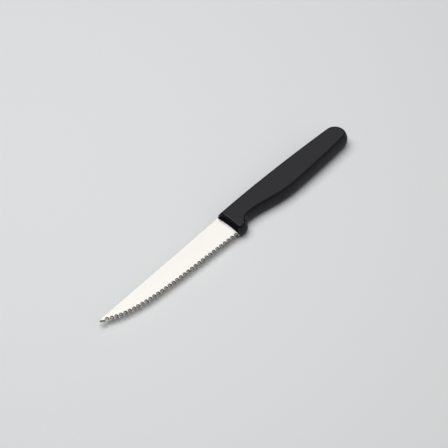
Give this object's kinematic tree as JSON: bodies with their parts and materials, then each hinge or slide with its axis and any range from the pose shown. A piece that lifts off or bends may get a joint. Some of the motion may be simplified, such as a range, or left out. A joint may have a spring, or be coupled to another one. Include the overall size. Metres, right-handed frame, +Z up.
{
  "type": "vegetable knife",
  "caption": "Small serrated kitchen knife: a pointed steel blade with scalloped edge, its hidden tang moulded into a flat-sided plastic handle with a finger guard.",
  "frame": {"origin": "middle of the base of the bounding box, on the surface that the knife lies on", "axes": "+X from the blade's tip to the handle's butt, +Y from the cutting edge to the spine, +Z up, out of the handle's upper flat"},
  "size_m": [0.2174, 0.0216, 0.0143],
  "materials": {
    "stainless_steel": "fine satin ground",
    "black_plastic": "moulded, fine matt texture"
  },
  "bodies": {
    "root": {"blade": "stainless_steel", "handle": "black_plastic"}
  },
  "joints": []
}
